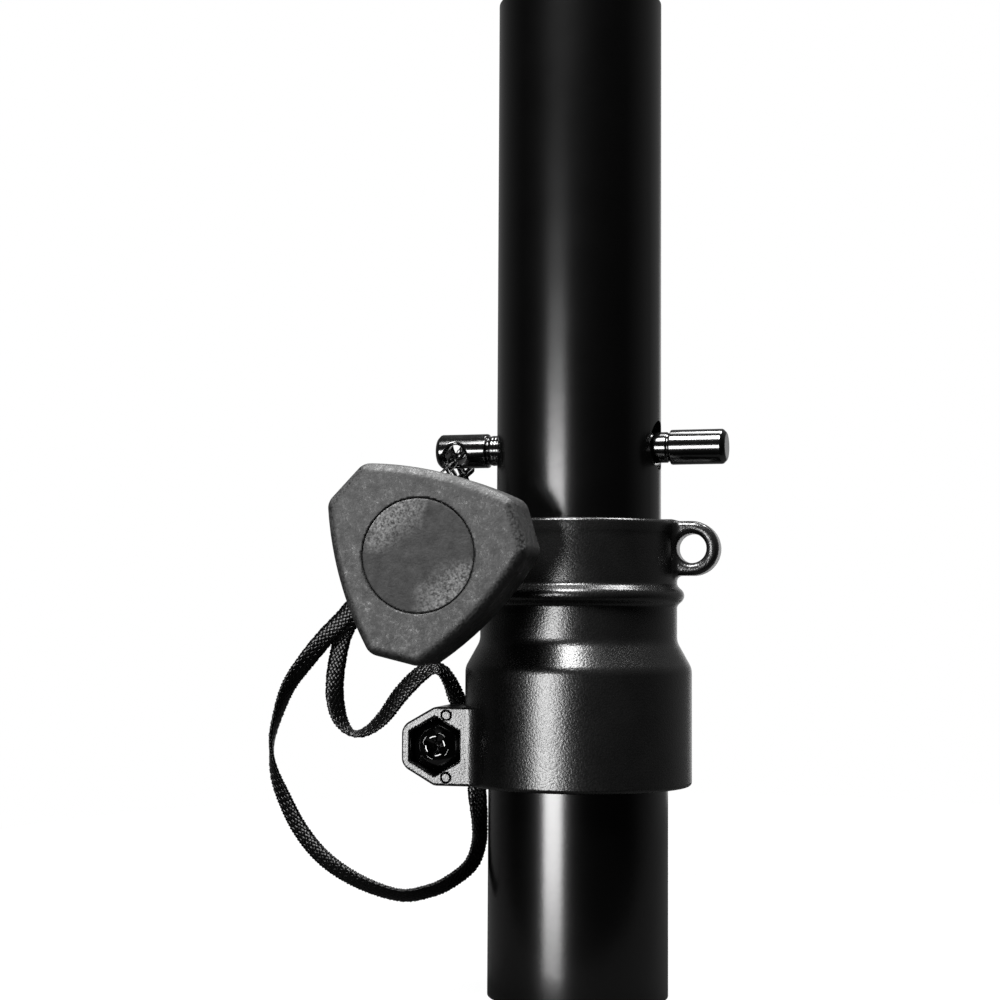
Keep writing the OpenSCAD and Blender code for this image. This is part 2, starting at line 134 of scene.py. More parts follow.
# Lower clamp's bolt
clamp_head_h = 4.0
clamp_head_edge = 0.25
dome_r = 8.5
dome_edge = 0.1
well_r = 1.3
well_edge = 1.0
well_lean = 0.3
well_dish = 0.5
cross_turned = np.radians(62)
cross_len = 5.6
cross_w = 1.5
cross_deep = 2.2
wing_lean = 0.12
wing_dish = 0.6
wing_edge = 0.12
shank_play = 0.05
thread_len = 4.0
thread_step = 1.0
thread_deep = 0.45

# Upper clamp
ear_x = (cap_low[0] + cap_high[0]) / 2
ear_z = (cap_low[2] + cap_high[2]) / 2
ear_r = 8.5
ear_y = 12.98
ear_edge = 1.0
ear_fillet = 0.8
knob_bolt_r = 4.0
knob_hex = 13.0
knob_nut_in = 4.5

# Cable eye
eye_hole_r = 3.1
eye_r = eye_hole_r + 2.6
eye_x = neck_r + 3.5
eye_z = collar_top - 0.1 - eye_r
eye_half = 4.0
eye_edge = 1.2
eye_fillet = 1.2

# Knob
knob_back = 27.68
knob_h = 15.5
knob_turned = np.radians(16.5)
knob_corner = 20.95
knob_flat = 10.5
knob_bulge = 1.8
knob_edge = 2.2
knob_back_edge = 0.9
knob_round = 1.0
hub_r = 7.5
hub_len = 13.1
hub_in = 1.0
hub_edge = 0.4
hub_fillet = 1.0
cap_r = 11.25
cap_gap = 0.12
cap_h = 3.0
cap_edge = 0.25
cap_crown = 0.05
knob_head_h = 5.3
knob_head_play = 0.1
rub_turned = np.radians(128)

# Safety pin
pin_turned = np.radians(-5)
pin_z = (pin_low[2] + pin_high[2]) / 2
pin_r = (pin_high[2] - pin_low[2]) / 2
pin_neck_r = 3.25
pin_neck_in = 1.0
pin_shoulder = upper_r + 2.65
pin_left = pin_shoulder + 11.3
pin_right = pin_shoulder + 11.8
pin_chamfer = 0.8
pin_end_edge = 0.1
pin_edge = 0.15
pin_ring = 0.02
pin_ring_step = 0.7
pin_groove_r = 0.4
pin_groove_out = 0.15
pin_groove_back = 0.45
pin_eye_r = 2.3
pin_eye_in = 4.6
pin_eye_dip = np.radians(26)
pin_eye_sink = 0.9

# Lanyard
braid_w = 4.0
braid_t = 1.2
drawn_w = 1.9
drawn_t = 1.3
half_twist = 180.0
strands = 8
strand_w = 0.95
strand_t = 0.2
strand_sides = 6
strand_lay = 10.8
weave = 0.06
bundle = 4
gather_len = 4.0
gather_pull = 0.9
gather_narrow = 0.45
core_sides = 12
core_in_w = 0.5
core_in_t = 0.4
braid_step = 0.3


# Mesh making

skin_slides = 3
least_slope = 0.05
slope_step = 0.12


def put_mesh(name, points, faces, normals=None):
    """A mesh object at the origin from points in millimetres and an array of quads."""
    mesh = bpy.data.meshes.new(name)
    mesh.vertices.add(len(points))
    mesh.vertices.foreach_set("co", np.asarray(points * MM, np.float32).ravel())
    count = faces.shape[1]
    mesh.loops.add(faces.size)
    mesh.loops.foreach_set("vertex_index", np.asarray(faces, np.int32).ravel())
    mesh.polygons.add(len(faces))
    mesh.polygons.foreach_set("loop_start", np.arange(0, faces.size, count, dtype=np.int32))
    mesh.polygons.foreach_set("use_smooth", np.ones(len(faces), bool))
    mesh.update(calc_edges=True)
    mesh.validate()
    if normals is not None:
        mesh.normals_split_custom_set_from_vertices(normals)
    piece = bpy.data.objects.new(name, mesh)
    bpy.context.scene.collection.objects.link(piece)
    return piece


def stations(*runs):
    """Grid places along one axis: each run is where it starts, where it ends and the step in it."""
    parts = [np.linspace(a, b, max(2, int(np.ceil((b - a) / step)) + 1))[:-1] for a, b, step in runs]
    return np.concatenate(parts + [[runs[-1][1]]])


def grid_round(low, high, pitch):
    """Even stations over a box with a little room round it."""
    return [stations((a - 3 * pitch, b + 3 * pitch, pitch)) for a, b in zip(low, high)]


def edge_crossings(inside, value, axis):
    """Crossings of the grid's edges along one axis: a mask, and how far along each edge it is."""
    a, b = np.moveaxis(value, axis, 0)[:-1], np.moveaxis(value, axis, 0)[1:]
    s, t = np.moveaxis(inside, axis, 0)[:-1], np.moveaxis(inside, axis, 0)[1:]
    crossed = s != t
    share = np.where(crossed, a / np.where(crossed, a - b, 1), 0)
    return np.moveaxis(crossed, 0, axis), np.moveaxis(share, 0, axis)


def skin_points(axes, value, inside):
    """A vertex for each cell that the skin passes through, at the mean of where the skin crosses the
    cell's edges. Gives the vertices, each cell's vertex number and the crossed edges of each axis."""
    cells = tuple(n - 1 for n in value.shape)
    hits = np.zeros(cells)
    total = np.zeros(cells + (3,))
    crossings = []
    for axis in range(3):
        crossed, share = edge_crossings(inside, value, axis)
        crossings.append(crossed)
        a, b = [k for k in range(3) if k != axis]
        for da, db in ((0, 0), (0, 1), (1, 0), (1, 1)):
            window = [slice(None)] * 3
            window[a] = slice(da, da + cells[a])
            window[b] = slice(db, db + cells[b])
            hit = crossed[tuple(window)]
            hits += hit
            total[..., axis] += np.where(hit, share[tuple(window)], 0)
            total[..., a] += hit * da
            total[..., b] += hit * db
    used = hits > 0
    number = np.cumsum(used.ravel()).reshape(cells) - 1
    place = np.argwhere(used) + total[used] / hits[used][:, None]
    points = [np.interp(place[:, k], np.arange(len(axes[k])), axes[k]) for k in range(3)]
    return np.stack(points, 1), number, crossings


def skin_faces(number, crossings, inside):
    """A quad for each crossed edge, between its four cells, turned to face outward."""
    cells = number.shape
    faces = []
    for axis in range(3):
        a, b = [k for k in range(3) if k != axis]
        where = np.argwhere(crossings[axis])
        keep = (where[:, a] > 0) & (where[:, a] < cells[a]) & (where[:, b] > 0) & (where[:, b] < cells[b])
        where = where[keep]
        ring = []
        for da, db in ((1, 1), (0, 1), (0, 0), (1, 0)):
            cell = where.copy()
            cell[:, a] -= da
            cell[:, b] -= db
            ring.append(number[tuple(cell.T)])
        quad = np.stack(ring, 1)
        outward = inside[tuple(where.T)] == (axis != 1)
        faces.append(np.where(outward[:, None], quad, quad[:, ::-1]))
    return np.concatenate(faces)


def slope_of(field, points, pitch):
    """The field's slope at the points, from small steps along each axis."""
    step = slope_step * pitch
    slope = np.empty_like(points)
    for axis in range(3):
        shift = np.zeros(3)
        shift[axis] = step
        slope[:, axis] = (field(*(points + shift).T) - field(*(points - shift).T)) / (2 * step)
    return slope


def moulded(name, field, axes):
    """The skin of a solid whose field is below zero inside it and above zero outside.

    The space is cut into cells at the axes' stations. The skin's vertices, one for each cell that it
    passes through, slide along the field's slope until the field is zero.
    """
    pitch = min(np.diff(axis).min() for axis in axes)
    value = field(*np.meshgrid(*axes, indexing="ij"))
    inside = value < 0
    points, number, crossings = skin_points(axes, value, inside)
    faces = skin_faces(number, crossings, inside)
    for _ in range(skin_slides):
        slope = slope_of(field, points, pitch)
        steep = np.maximum((slope**2).sum(1), least_slope)
        move = np.clip(field(*points.T) / steep, -pitch, pitch)
        points = points - move[:, None] * slope
    slope = slope_of(field, points, pitch)
    normals = slope / np.maximum(np.linalg.norm(slope, axis=1, keepdims=True), 1e-9)
    return put_mesh(name, points, faces, normals)


# Fields: a distance below zero inside, above zero outside


def join(a, b, r):
    """Both solids, with a hollow fillet of radius r where they meet."""
    u, v = np.maximum(r - a, 0), np.maximum(r - b, 0)
    return np.maximum(r, np.minimum(a, b)) - np.hypot(u, v)


def common(a, b, r):
    """What both solids share, with its edge rounded to radius r."""
    u, v = np.maximum(r + a, 0), np.maximum(r + b, 0)
    return np.minimum(-r, np.maximum(a, b)) + np.hypot(u, v)


def cut(a, b, r):
    """The first solid without the second, with the cut's edge rounded to radius r."""
    return common(a, -b, r)


def rectangle(u, v, u0, u1, v0, v1):
    """Distance to a flat rectangle, sharp at its corners."""
    du = np.abs(u - (u0 + u1) / 2) - (u1 - u0) / 2
    dv = np.abs(v - (v0 + v1) / 2) - (v1 - v0) / 2
    return np.hypot(np.maximum(du, 0), np.maximum(dv, 0)) + np.minimum(np.maximum(du, dv), 0)


def hexagon(u, v, across):
    """Distance to a hexagon with two flats square to u."""
    u, v = np.abs(u), np.abs(v)
    return np.maximum(u, 0.5 * u + COS_30 * v) - across / 2


# Materials


class Wire:
    """A shader socket on which maths can be written: each expression adds its Math node."""

    def __init__(self, finish, socket):
        self.finish = finish
        self.socket = socket

    def math(self, operation, a, b):
        return self.finish.node("ShaderNodeMath", {"operation": operation}, {0: a, 1: b})

    def __add__(self, other):
        return self.math("ADD", self, other)

    __radd__ = __add__

    def __sub__(self, other):
        return self.math("SUBTRACT", self, other)

    def __rsub__(self, other):
        return self.math("SUBTRACT", other, self)

    def __mul__(self, other):
        return self.math("MULTIPLY", self, other)

    __rmul__ = __mul__

    def __truediv__(self, other):
        return self.math("DIVIDE", self, other)


class Finish:
    """A node tree: node() adds a node, and feed() sets a socket or links a wire to it."""

    def __init__(self, tree):
        self.tree = tree

    def feed(self, socket, value):
        if isinstance(value, Wire):
            self.tree.links.new(value.socket, socket)
        else:
            socket.default_value = value

    def node(self, kind, settings=None, inputs=None, output=0):
        made = self.tree.nodes.new(kind)
        for key, value in (settings or {}).items():
            setattr(made, key, value)
        for key, value in (inputs or {}).items():
            self.feed(made.inputs[key], value)
        return Wire(self, made.outputs[output])


def new_finish(name, **constants):
    """A material with a Principled surface whose constant inputs are set on its sockets."""
    material = bpy.data.materials.new(name)
    material.use_nodes = True
    tree = material.node_tree
    surface = tree.nodes["Principled BSDF"]
    for key, value in constants.items():
        surface.inputs[key.replace("_", " ").title().replace("Ior", "IOR")].default_value = value
    return material, Finish(tree), surface


def grey(value):
    return (value, value, value, 1)


def noise(finish, place, scale, detail=3.0, roughness=0.6):
    """Fractal noise from 0 to 1 with about scale bumps in a metre."""
    inputs = {"Vector": place, "Scale": scale, "Detail": detail, "Roughness": roughness}
    return finish.node("ShaderNodeTexNoise", {}, inputs)


def object_place(finish):
    return finish.node("ShaderNodeTexCoord", {}, {}, "Object")


def parts_of(finish, place):
    """The three parts of a place."""
    split = finish.node("ShaderNodeSeparateXYZ", {}, {0: place})
    return [Wire(finish, socket) for socket in split.socket.node.outputs]


def stretched(finish, value, low, high, start=0.0, end=1.0, soft=False):
    """The value's part between low and high, spread out from start to end."""
    settings = {"interpolation_type": "SMOOTHSTEP" if soft else "LINEAR"}
    inputs = {"Value": value, "From Min": low, "From Max": high, "To Min": start, "To Max": end}
    return finish.node("ShaderNodeMapRange", settings, inputs)


def tinted(finish, mask, dark, light):
    """A grey that goes from dark to light with the mask."""
    settings = {"data_type": "RGBA", "clamp_factor": False}
    return finish.node("ShaderNodeMix", settings, {0: mask, 6: grey(dark), 7: grey(light)}, 2)


def dress(finish, surface, colour, roughness, height, strength, depth):
    """Feeds a surface's colour, its roughness and the fine relief on it."""
    finish.feed(surface.inputs["Base Color"], colour)
    finish.feed(surface.inputs["Roughness"], roughness)
    inputs = {"Height": height, "Strength": strength, "Distance": depth}
    finish.feed(surface.inputs["Normal"], finish.node("ShaderNodeBump", {}, inputs))


def powder_coat():
    """Semi-gloss black paint: a faint flow in the gloss and very shallow waves."""
    material, finish, surface = new_finish("tube_black", ior=1.5)
    place = object_place(finish)
    flow = noise(finish, place, scale=90)
    fine = noise(finish, place, scale=900)
    colour = tinted(finish, flow, dark=0.0006, light=0.001)
    dress(finish, surface, colour, 0.2 + 0.03 * flow, flow + 0.3 * fine, strength=0.04, depth=0.0004)
    return material


def grained_nylon():
    """Black moulded nylon with a fine grain that breaks its shine up."""
    material, finish, surface = new_finish("collar_nylon", ior=1.5)
    place = object_place(finish)
    grain = noise(finish, place, scale=2600, detail=1.5)
    cloud = noise(finish, place, scale=160)
    colour = tinted(finish, cloud, dark=0.004, light=0.007)
    roughness = 0.14 + 0.06 * cloud + 0.2 * grain
    dress(finish, surface, colour, roughness, grain, strength=0.26, depth=0.0002)
    return material


def rubbed_patches(finish, place):
    """Wear towards the cap's rim on two opposite sides, from 0 to 1."""
    x, _, z = [part / MM for part in parts_of(finish, place)]
    u, v = x - ear_x, z - ear_z
    along = u * np.cos(rub_turned) + v * np.sin(rub_turned)
    across = v * np.cos(rub_turned) - u * np.sin(rub_turned)
    far = along * along + across * across
    lobe = (along * along - across * across) / (far + 1.0)
    wander = lobe + 1.6 * noise(finish, place, scale=240)
    return stretched(finish, far, 14.0, 70.0) * stretched(finish, wander, 0.7, 1.5)


def mottled_plastic(name, gloss, worn=0.0):
    """Matte grey plastic, mottled and grained in its gloss, with worn patches if asked."""
    material, finish, surface = new_finish(name, ior=1.45)
    place = object_place(finish)
    cloud = stretched(finish, noise(finish, place, scale=420, detail=4, roughness=0.75), 0.3, 0.7)
    grain = noise(finish, place, scale=2000, detail=1)
    speck = stretched(finish, grain, 0.3, 0.7)
    shade = speck + worn * rubbed_patches(finish, place) * speck
    colour = tinted(finish, shade, dark=0.005, light=0.034)
    roughness = gloss + 0.3 * cloud + 0.24 * speck
    dress(finish, surface, colour, roughness, grain, strength=0.4, depth=0.0002)
    return material


def black_steel():
    """Glossy blackened steel with a faint cloud in its gloss."""
    material, finish, surface = new_finish("black_steel", ior=1.6)
    cloud = noise(finish, object_place(finish), scale=300)
    colour = tinted(finish, cloud, dark=0.001, light=0.003)
    dress(finish, surface, colour, 0.1 + 0.08 * cloud, cloud, strength=0.02, depth=0.0002)
    return material


def plated_steel():
    """Zinc plating: bright grey metal with a cloudy gloss."""
    material, finish, surface = new_finish("plated_steel", metallic=1.0)
    cloud = noise(finish, object_place(finish), scale=700)
    colour = tinted(finish, cloud, dark=0.5, light=0.66)
    dress(finish, surface, colour, 0.25 + 0.2 * cloud, cloud, strength=0.1, depth=0.0001)
    return material


def plain_nylon(name, tint):
    """Smooth moulded nylon of one colour with a soft cloud in it."""
    material, finish, surface = new_finish(name, ior=1.5)
    cloud = noise(finish, object_place(finish), scale=500)
    deep = tuple(0.85 * part for part in tint)
    inputs = {0: cloud, 6: (*deep, 1), 7: (*tint, 1)}
    colour = finish.node("ShaderNodeMix", {"data_type": "RGBA"}, inputs, 2)
    dress(finish, surface, colour, 0.4 + 0.15 * cloud, cloud, strength=0.1, depth=0.0002)
    return material


def filament_black():
    """Black monofilament: smooth, with a clear shine along each strand."""
    material, finish, surface = new_finish("lanyard_braid", ior=1.3)
    cloud = noise(finish, object_place(finish), scale=800)
    colour = tinted(finish, cloud, dark=0.0006, light=0.0015)
    dress(finish, surface, colour, 0.2 + 0.08 * cloud, cloud, strength=0.1, depth=0.0001)
    return material


slots = {
    "tube_black": powder_coat(),
    "collar_nylon": grained_nylon(),
    "knob_plastic": mottled_plastic("knob_plastic", gloss=0.32),
    "cap_plastic": mottled_plastic("cap_plastic", gloss=0.55, worn=6.0),
    "black_steel": black_steel(),
    "plated_steel": plated_steel(),
    "bush_nylon": plain_nylon("bush_nylon", (0.7, 0.7, 0.66)),
    "glide_plastic": plain_nylon("glide_plastic", (0.02, 0.02, 0.02)),
    "ring_nylon": plain_nylon("ring_nylon", (0.04, 0.1, 0.25)),
    "lanyard_braid": filament_black(),
}
slot_of = {row["node"]: row["material_slot"] for row in frame["record"]["subparts"]}
for node, piece in nodes.items():
    piece.data.materials.clear()
    piece.data.materials.append(slots[slot_of[node]])


def show(piece, body, slot, *replaced):
    """Gives a finished piece its material and its body, and puts it in its CAD nodes' place."""
    piece.data.materials.append(slots[slot])
    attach(piece, body)
    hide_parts(*replaced)


# Collar


def collar_radius(z):
    """Outer radius of the collar's round body against height: the wide part, a lean flare between
    two tangent arcs, the neck, and the lip that stands a little out of it."""
    rise = flare_r * np.sin(flare_angle)
    low = np.clip(z - flare_z, 0, rise)
    high = np.clip(neck_z - z, 0, rise)
    lower_arc = skirt_r - flare_r + np.sqrt(flare_r**2 - low**2)
    upper_arc = neck_r + flare_r - np.sqrt(flare_r**2 - high**2)
    middle = (skirt_r + neck_r) / 2
    lean = middle - (z - flare_z - flare_h / 2) * np.tan(flare_angle)
    lip = lip_out / (1 + np.exp(-lip_steep * (z - collar_top + lip_h)))
    return np.clip(lean, upper_arc, lower_arc) + lip


def round_body(rho, z):
    """The collar's round body with its bead, still without a bore."""
    middle, half = (collar_z + collar_top) / 2, (collar_top - collar_z) / 2
    body = common(rho - collar_radius(z), np.abs(z - middle) - half, collar_edge)
    bead = np.hypot(rho - (neck_r + bead_out - bead_r), z - bead_z) - bead_r
    return join(body, bead, bead_fillet)


def lower_lug(x, y, z):
    """The lower clamp's block, six-sided at its end, with a fillet where it runs into the skirt."""
    end, rise = lug_x - x - lug_across / 2, np.abs(z - lug_z)
    lean = 0.5 * (lug_x - x) + COS_30 * rise - lug_across / 2
    lug = common(common(end, lean, lug_round), rise - lug_h / 2, lug_rim)
    sides = join(np.hypot(x, y) - skirt_r, np.abs(y) - lug_y, lug_fillet)
    return common(np.maximum(lug, x), sides, lug_edge)


def round_arm(x, y, z, end_x, end_z, r, half, edge):
    """A flat arm from the pole's axis to a round end, as thick to both sides of y."""
    end = np.hypot(x - end_x, z - end_z) - r
    arm = rectangle(x, z, min(end_x, 0), max(end_x, 0), end_z - r, end_z + r)
    return common(np.minimum(end, arm), np.abs(y) - half, edge)


def collar_cuts(x, y, z):
    """The slit, bolt holes, pockets, marks and eye, each with the radius of its edge."""
    at_lug, at_ear = (x - lug_x, z - lug_z), (x - ear_x, z - ear_z)
    front = y + lug_y
    pocket = hexagon(*at_lug, clamp_hex + 2 * hex_gap)
    mark = np.hypot(x - mark_x, np.abs(z - lug_z) - mark_rise) - mark_r
    nut = hexagon(*at_ear, knob_hex + 2 * hex_gap)
    yield np.maximum(np.abs(y) - slit_w / 2, x + upper_r - slit_in), slit_edge
    yield np.hypot(*at_lug) - clamp_bolt_r - bolt_play, hole_edge
    yield np.maximum(pocket, front - head_pocket), pocket_edge
    yield np.maximum(mark, front - mark_deep), mark_hole_edge
    yield np.hypot(*at_ear) - knob_bolt_r - bolt_play, hole_edge
    yield np.maximum(nut, ear_y - knob_nut_in - y), hole_edge
    yield np.hypot(x - eye_x, z - eye_z) - eye_hole_r, eye_edge


def collar_field(x, y, z):
    """Round body with its lug, ears and cable eye joined on, then its bores and cuts."""
    rho = np.hypot(x, y)
    solid = np.minimum(round_body(rho, z), lower_lug(x, y, z))
    solid = join(solid, round_arm(x, y, z, ear_x, ear_z, ear_r, ear_y, ear_edge), ear_fillet)
    solid = join(solid, round_arm(x, y, z, eye_x, eye_z, eye_r, eye_half, eye_edge), eye_fillet)
    solid = np.maximum(solid, np.where(z < bush_top, skirt_bore_r, guide_bore_r) - rho)
    for hole, edge in collar_cuts(x, y, z):
        solid = cut(solid, hole, edge)
    return solid


def make_collar():
    """The collar on a grid that is finer at the lug, the front and the eye."""
    low, high = collar_low - 1, collar_high + 1
    lug_root, eye_root, front_end, lug_top = -19, 20, -8, collar_z + lug_h + 1
    axes = [
        stations((low[0], lug_root, 0.32), (lug_root, eye_root, 0.7), (eye_root, eye_side + 1, 0.38)),
        stations((low[1], front_end, 0.42), (front_end, high[1], 0.8)),
        stations((low[2], lug_top, 0.35), (lug_top, high[2], 0.5)),
    ]
    show(moulded("collar", collar_field, axes), "stand", "collar_nylon", "clamp_collar", "cable_eye")


def marks_field(x, y, z):
    """The flat ends of two ejector pins, printed in the lug's front with a fine gap round them."""
    mark = np.hypot(x - mark_x, np.abs(z - lug_z) - mark_rise) - mark_r + mark_gap
    return common(mark, np.abs(y + lug_y - mark_deep) - mark_deep + mark_sunk, mark_edge)


def make_marks():
    """Both marks on a fine grid, with coarse steps over the room between them."""
    fine, coarse, room = 0.1, 1.0, 0.2
    reach = mark_r + 0.3
    near, far = mark_rise - reach, mark_rise + reach
    low_run = (lug_z - far, lug_z - near, fine)
    between = (lug_z - near, lug_z + near, coarse)
    high_run = (lug_z + near, lug_z + far, fine)
    axes = [
        stations((mark_x - reach, mark_x + reach, fine)),
        stations((-lug_y - room, -lug_y + 2 * mark_deep + room, fine)),
        stations(low_run, between, high_run),
    ]
    show(moulded("marks", marks_field, axes), "stand", "collar_nylon", "clamp_collar")


make_collar()
make_marks()


# Knob and cap: their own frame has u across, v up and w out from the knob's back


def knob_outline(u, v):
    """Three long sides that bulge as arcs and three short straight ones, with rounded corners."""
    half = np.hypot(knob_corner, knob_flat / 2)
    angle = np.pi / 3 - np.arctan(knob_flat / 2 / knob_corner)
    chord = half * np.sin(angle)
    arc_r = (chord**2 + knob_bulge**2) / (2 * knob_bulge)
    far = half * np.cos(angle) + knob_bulge
    outline = np.full(np.shape(u), -1e3)
    for k in range(3):
        a = knob_turned + 2 * np.pi / 3 * k
        b = a + np.pi / 3
        flat = u * np.cos(a) + v * np.sin(a) - knob_corner
        side = np.hypot(u - (far - arc_r) * np.cos(b), v - (far - arc_r) * np.sin(b)) - arc_r
        outline = common(common(outline, flat, knob_round), side, knob_round)
    return outline


def grip_field(x, y, z):
    """The knob's outline carried forward to a rounded edge, with the hub behind it, the cap's seat,
    the bolt head's seat and the bolt's hole."""
    u, v, w = x - ear_x, z - ear_z, -knob_back - y
    rho = np.hypot(u, v)
    grip = common(knob_outline(u, v), w - knob_h, knob_edge)
    grip = common(grip, -w, knob_back_edge)
    hub = common(rho - hub_r, np.abs(w - hub_in) - hub_len - hub_in, hub_edge)
    grip = join(grip, hub, hub_fillet)
    grip = cut(grip, np.maximum(rho - cap_r, knob_h - cap_h - w), cap_edge)
    seat = hexagon(u, v, knob_hex + knob_head_play)
    grip = np.maximum(grip, -np.maximum(seat, knob_h - cap_h - knob_head_h - w))
    return np.maximum(grip, knob_bolt_r - rho)


def cap_field(x, y, z):
    """A flat disc with a rounded rim, crowned by a hair."""
    u, v, w = x - ear_x, z - ear_z, -knob_back - y
    rho = np.hypot(u, v)
    disc = common(rho - cap_r + cap_gap, w - knob_h + cap_crown * (rho / cap_r) ** 2, cap_edge)
    return np.maximum(disc, knob_h - cap_h - w)


# Safety pin and lower bolt


def pin_field(x, y, z):
    """A turned pin along its own run: two heads with chamfered ends, a thinner neck with fine turned
    rings, and the lanyard's hole, which dips to the front and has rounded mouths."""
    run = x * np.cos(pin_turned) + y * np.sin(pin_turned)
    side = y * np.cos(pin_turned) - x * np.sin(pin_turned)
    rise = z - pin_z
    rho = np.hypot(side, rise)
    rings = np.where(run < 0, pin_ring * np.cos(2 * np.pi * run / pin_ring_step), 0)
    pin = np.maximum(rho - pin_neck_r - rings, np.abs(run) - pin_shoulder - pin_neck_in)
    for end, way in ((pin_left, -1), (pin_right, 1)):
        out = way * run
        head = common(rho - pin_r, out - end, pin_end_edge)
        head = common(head, (rho - pin_r + out - end + pin_chamfer) * COS_45, pin_edge)
        head = common(head, pin_shoulder - out, pin_edge)
        groove = np.hypot(rho - pin_neck_r - pin_groove_out, out - pin_shoulder + pin_groove_back)
        pin = np.maximum(np.minimum(pin, head), pin_groove_r - groove)
    across = np.cos(pin_eye_dip) * rise - np.sin(pin_eye_dip) * side
    hole = np.hypot(run + pin_left - pin_eye_in, across) - pin_eye_r
    return cut(pin, hole, pin_eye_sink)


def cross_recess(head, u, v, deep):
    """A bolt's head with its cross recess: a round well with a soft rim and four wings that narrow
    inwards."""
    rho = np.hypot(u, v)
    well = np.maximum(rho - well_r + well_lean * deep, deep - cross_deep + well_dish * rho)
    head = cut(head, well, well_edge)
    c, s = np.cos(cross_turned), np.sin(cross_turned)
    along, across = np.abs(u * c + v * s), np.abs(v * c - u * s)
    cross = np.minimum(across, along) - cross_w / 2 + wing_lean * deep
    wings = np.maximum(cross, rho - cross_len / 2 + well_lean * deep)
    return cut(head, np.maximum(wings, deep - cross_deep + wing_dish * rho), wing_edge)


def bolt_field(x, y, z):
    """The lower clamp bolt: a six-sided head with a domed face and a cross recess, and a shank whose
    end carries a thread. Its frame has u across, v up and w out from under the head."""
    u, v, w = x - lug_x, z - lug_z, -lug_y + head_pocket - y
    rho = np.hypot(u, v)
    half_h = clamp_head_h / 2
    head = common(hexagon(u, v, clamp_hex), np.abs(w - half_h) - half_h, clamp_head_edge)
    head = common(head, np.hypot(rho, w - clamp_head_h + dome_r) - dome_r, dome_edge)
    head = cross_recess(head, u, v, clamp_head_h - w)
    turn = np.arctan2(v, u) / (2 * np.pi)
    wave = np.abs(np.mod(w / thread_step + turn, 1) - 0.5) * 2
    thread = np.where(y > lug_y - thread_len, thread_deep * wave, 0)
    shank = np.maximum(rho - clamp_bolt_r + shank_play + thread, np.maximum(w, y - bolt_high[1]))
    return np.minimum(head, shank)


grip = moulded("grip", grip_field, grid_round(grip_low, grip_high, pitch=0.4))
cap = moulded("cap", cap_field, grid_round(cap_low, cap_high, pitch=0.3))
pin = moulded("pin", pin_field, grid_round(pin_low, pin_high, pitch=0.22))
bolt = moulded("bolt", bolt_field, grid_round(bolt_low, bolt_high, pitch=0.17))
show(grip, "knob", "knob_plastic", "knob_grip")
show(cap, "knob", "cap_plastic", "knob_cap")
show(pin, "pin", "black_steel", "safety_pin")
show(bolt, "stand", "black_steel", "clamp_bolt")


# Lanyard: x, y, z, the braid's turn about its run, and how far it is drawn in

outer_points = [
    (-22.1, 0, 52.5, 0, 0), (-22, 0, 47, 0, 0), (-21.9, 0, 42, 15, 0), (-21.2, -0.5, 35.7, 45, 0),
    (-21.2, -1, 30.8, 50, 0), (-23, -1, 26.2, 47, 0), (-27.5, -1, 22.5, 45, 0), (-32, -1, 20.4, 44, 0),
    (-38.5, -1, 19.3, 42, 0), (-47.4, -1, 21.8, 30, 0), (-55.3, -1, 26.4, 18, 0), (-61, -1, 32.6, 15, 0),
    (-65, -1.5, 40.2, 26, 0), (-67, -2, 46.1, 52, 0), (-67.2, -2.5, 51.9, 84, 0),
]
front_points = [
    (-65.6, -3, 57.9, 104, 0), (-62.9, -4, 64, 126, 0), (-58.6, -5, 69.6, 150, 0),
    (-54.4, -5.5, 74.4, 168, 0), (-49.9, -6, 78.9, 180, 0),
]
eye_points = [
    (-44.8, -7, 84.6, 180, 0), (-39.5, -8, 90.8, 180, 0), (-34.5, -8, 96.8, 180, 0),
    (-28.8, -6.8, 105, 182, 0), (-27.6, -5.8, 109, 190, -0.4), (-27.4, -3.9, 111.6, 195, 0.1),
    (-27.1, -1.4, 112.6, 200, 0.9), (-26.9, 2.3, 114.4, 200, 1), (-26.6, 6.1, 116.2, 200, 1),
    (-26.6, 8.8, 116.4, 195, 0.6), (-27, 10.2, 113, 190, 0), (-28.2, 10.2, 108.5, 185, -0.3),
    (-30.6, 8.8, 103.6, 182, 0), (-35, 6, 97.2, 180, 0), (-41, 2.5, 90, 180, 0),
]
back_points = [
    (-47, -0.2, 82.4, 180, 0), (-51.2, -1.4, 75.8, 180, 0), (-52.9, -1.5, 69, 184, 0),
    (-53.4, -1.5, 63.7, 196, 0), (-53.1, -1.5, 60, 212, 0), (-52, -1.5, 56.5, 236, 0),
]
inner_points = [
    (-49.6, -1.5, 53.8, 262, 0), (-46.2, -1.5, 54.2, 240, 0), (-42.4, -1.5, 57.2, 214, 0),
    (-38.7, -1, 62.2, 197, 0), (-34.9, -0.5, 66.2, 200, 0), (-32.1, 0, 67.8, 226, 0),
    (-29.8, 0, 67.4, 240, 0), (-28, 0, 65, 234, 0), (-26.4, 0, 61.4, 214, 0), (-24, 0, 57, 184, 0),
]
stretches = [outer_points, front_points, eye_points, back_points, inner_points]
route = np.array(sum(stretches, []), float)
first_of = np.cumsum([0] + [len(points) for points in stretches])


